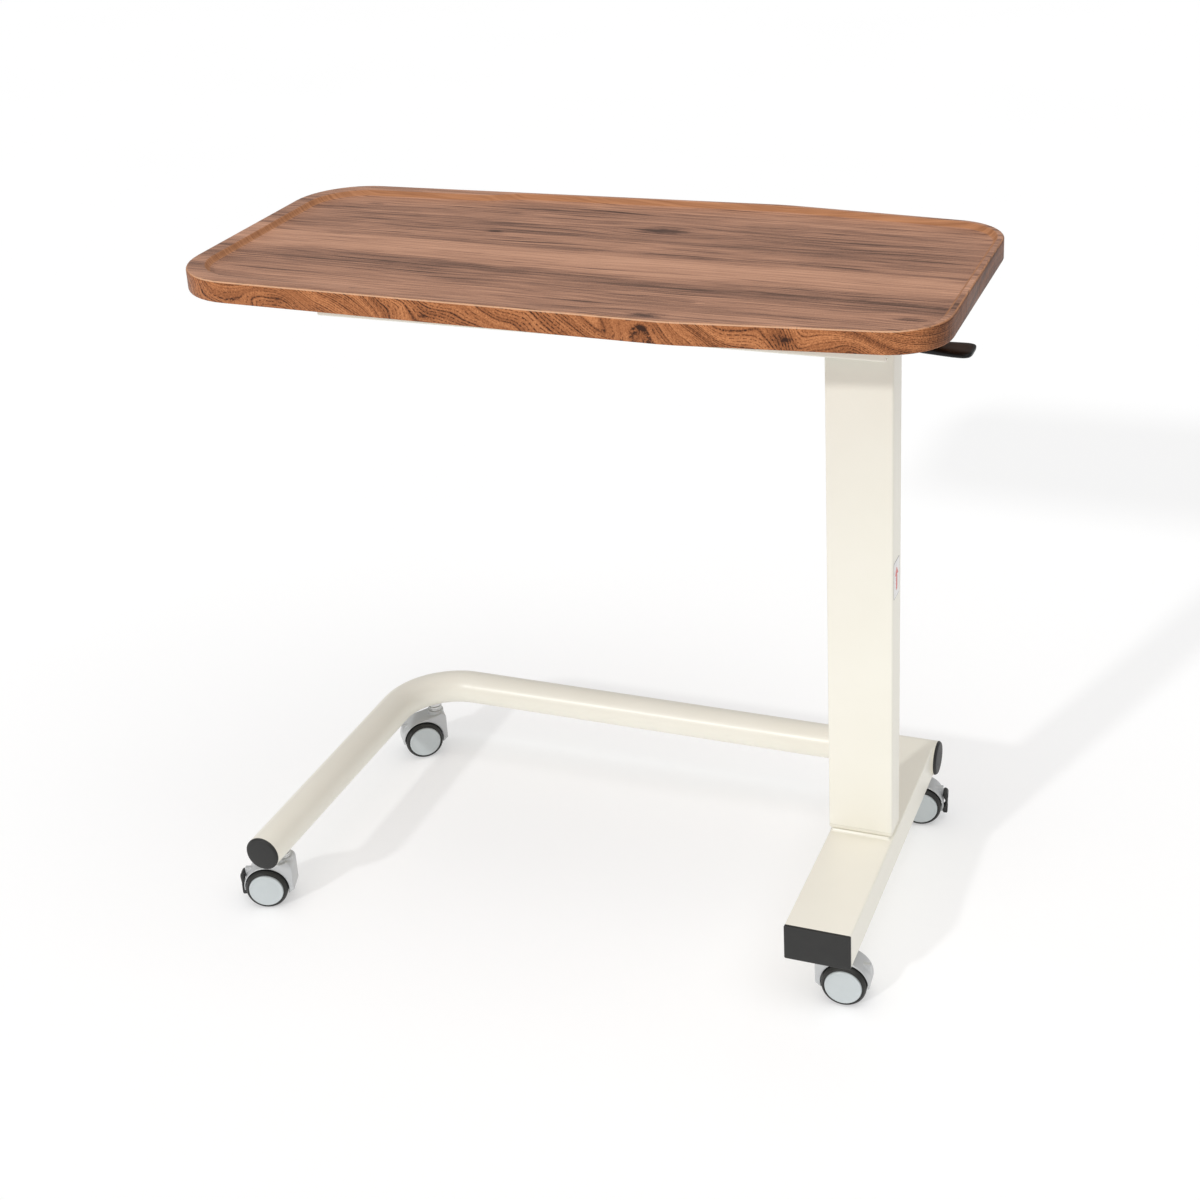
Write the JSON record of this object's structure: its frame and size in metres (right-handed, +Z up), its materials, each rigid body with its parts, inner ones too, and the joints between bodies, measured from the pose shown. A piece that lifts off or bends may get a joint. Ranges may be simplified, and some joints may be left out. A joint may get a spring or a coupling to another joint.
{
  "type": "overbed table",
  "caption": "Overbed table with a recessed walnut board, a side column on a lockable gas spring and a C-shaped base on swivelling twin-wheel casters.",
  "frame": {"origin": "on the floor, under the middle of the outer box", "axes": "+X along the board towards the column, +Y towards the base's back run, +Z up"},
  "size_m": [0.8, 0.436, 0.749],
  "materials": {
    "walnut_board": "satin",
    "cream_powder_coat": "semi-gloss powder coat",
    "cream_plastic": "satin",
    "dark_plastic": "fine texture",
    "glide_plastic": "smooth",
    "hood_grey": "satin",
    "disc_grey": "satin",
    "tyre_black": "smooth",
    "zinc_plate": "zinc plated",
    "gas_black": "satin black",
    "rod_chrome": "polished",
    "label_white": "printed film"
  },
  "bodies": {
    "base": {"base_tube": "cream_powder_coat", "tube_cap_front": "dark_plastic", "tube_cap_rear": "dark_plastic", "foot_beam": "cream_powder_coat", "foot_cap": "dark_plastic", "caster_sockets": "zinc_plate", "base_plate": "cream_powder_coat", "inner_column": "cream_powder_coat", "upper_glides": "glide_plastic", "gas_cylinder": "gas_black", "gas_guide": "glide_plastic", "gas_foot_pin": "zinc_plate"},
    "top": {"tabletop": "walnut_board", "tabletop_screws": "zinc_plate", "support_channel": "cream_powder_coat", "top_bracket": "cream_powder_coat", "bracket_bolts": "zinc_plate", "column_sleeve": "cream_powder_coat", "sleeve_end_bush": "cream_plastic", "gas_rod": "rod_chrome", "gas_piston": "gas_black", "rod_nuts": "zinc_plate", "lever_pivot_pin": "zinc_plate", "arrow_label": "label_white"},
    "lever": {"lever_arm": "zinc_plate", "lever_grip": "dark_plastic"},
    "release": {"release_pin": "rod_chrome"},
    "caster_front_right": {"front_right_stem": "zinc_plate", "front_right_hood": "hood_grey", "front_right_axle": "zinc_plate"},
    "front_right_wheel_a": {"front_right_tyre_a": "tyre_black", "front_right_hub_a": "disc_grey"},
    "front_right_wheel_b": {"front_right_tyre_b": "tyre_black", "front_right_hub_b": "disc_grey"},
    "caster_front_left": {"front_left_stem": "zinc_plate", "front_left_hood": "hood_grey", "front_left_axle": "zinc_plate", "front_left_pedal_pin": "zinc_plate"},
    "front_left_wheel_a": {"front_left_tyre_a": "tyre_black", "front_left_hub_a": "disc_grey"},
    "front_left_wheel_b": {"front_left_tyre_b": "tyre_black", "front_left_hub_b": "disc_grey"},
    "front_left_brake": {"front_left_pedal": "dark_plastic"},
    "caster_back_left": {"back_left_stem": "zinc_plate", "back_left_hood": "hood_grey", "back_left_axle": "zinc_plate"},
    "back_left_wheel_a": {"back_left_tyre_a": "tyre_black", "back_left_hub_a": "disc_grey"},
    "back_left_wheel_b": {"back_left_tyre_b": "tyre_black", "back_left_hub_b": "disc_grey"},
    "caster_back_right": {"back_right_stem": "zinc_plate", "back_right_hood": "hood_grey", "back_right_axle": "zinc_plate", "back_right_pedal_pin": "zinc_plate"},
    "back_right_wheel_a": {"back_right_tyre_a": "tyre_black", "back_right_hub_a": "disc_grey"},
    "back_right_wheel_b": {"back_right_tyre_b": "tyre_black", "back_right_hub_b": "disc_grey"},
    "back_right_brake": {"back_right_pedal": "dark_plastic"}
  },
  "joints": [
    {"name": "column_lift", "type": "slide", "parent": "base", "child": "top", "axis": [0, 0, 1], "range_m": [0, 0.32]},
    {"name": "lever_pull", "type": "hinge", "parent": "top", "child": "lever", "pos_m": [0.301, 0.00001, 0.706], "axis": [0, -1, 0], "range_deg": [0, 10], "stiffness_Nm_per_rad": 2, "springref_deg": -5.73},
    {"name": "release_press", "type": "slide", "parent": "top", "child": "release", "axis": [0, 0, -1], "range_m": [0, 0.0028]},
    {"name": "front_right_swivel", "type": "hinge", "parent": "base", "child": "caster_front_right", "pos_m": [0.286, -0.15299, 0.06], "axis": [0, 0, 1], "continuous": true},
    {"name": "front_right_roll_a", "type": "hinge", "parent": "caster_front_right", "child": "front_right_wheel_a", "pos_m": [0.30595, -0.15159, 0.024], "axis": [-0.0698, 0.9976, 0], "continuous": true},
    {"name": "front_right_roll_b", "type": "hinge", "parent": "caster_front_right", "child": "front_right_wheel_b", "pos_m": [0.30595, -0.15159, 0.024], "axis": [-0.0698, 0.9976, 0], "continuous": true},
    {"name": "front_left_swivel", "type": "hinge", "parent": "base", "child": "caster_front_left", "pos_m": [-0.349, -0.17499, 0.06], "axis": [0, 0, 1], "continuous": true},
    {"name": "front_left_roll_a", "type": "hinge", "parent": "caster_front_left", "child": "front_left_wheel_a", "pos_m": [-0.36791, -0.1815, 0.024], "axis": [0.3256, -0.9455, 0], "continuous": true},
    {"name": "front_left_roll_b", "type": "hinge", "parent": "caster_front_left", "child": "front_left_wheel_b", "pos_m": [-0.36791, -0.1815, 0.024], "axis": [0.3256, -0.9455, 0], "continuous": true},
    {"name": "front_left_brake_press", "type": "hinge", "parent": "caster_front_left", "child": "front_left_brake", "pos_m": [-0.39486, -0.19078, 0.014], "axis": [0.3256, -0.9455, 0], "range_deg": [0, 20]},
    {"name": "back_left_swivel", "type": "hinge", "parent": "base", "child": "caster_back_left", "pos_m": [-0.32419, 0.17075, 0.06], "axis": [0, 0, 1], "continuous": true},
    {"name": "back_left_roll_a", "type": "hinge", "parent": "caster_back_left", "child": "back_left_wheel_a", "pos_m": [-0.33994, 0.15844, 0.024], "axis": [0.6157, -0.788, 0], "continuous": true},
    {"name": "back_left_roll_b", "type": "hinge", "parent": "caster_back_left", "child": "back_left_wheel_b", "pos_m": [-0.33994, 0.15844, 0.024], "axis": [0.6157, -0.788, 0], "continuous": true},
    {"name": "back_right_swivel", "type": "hinge", "parent": "base", "child": "caster_back_right", "pos_m": [0.286, 0.19001, 0.06], "axis": [0, 0, 1], "continuous": true},
    {"name": "back_right_roll_a", "type": "hinge", "parent": "caster_back_right", "child": "back_right_wheel_a", "pos_m": [0.3057, 0.19349, 0.024], "axis": [-0.1736, 0.9848, 0], "continuous": true},
    {"name": "back_right_roll_b", "type": "hinge", "parent": "caster_back_right", "child": "back_right_wheel_b", "pos_m": [0.3057, 0.19349, 0.024], "axis": [-0.1736, 0.9848, 0], "continuous": true},
    {"name": "back_right_brake_press", "type": "hinge", "parent": "caster_back_right", "child": "back_right_brake", "pos_m": [0.33376, 0.19844, 0.014], "axis": [-0.1736, 0.9848, 0], "range_deg": [0, 20]}
  ],
  "couplings": [
    {"joint": "release_press", "follows": "lever_pull", "m_per_rad": 0.015}
  ]
}
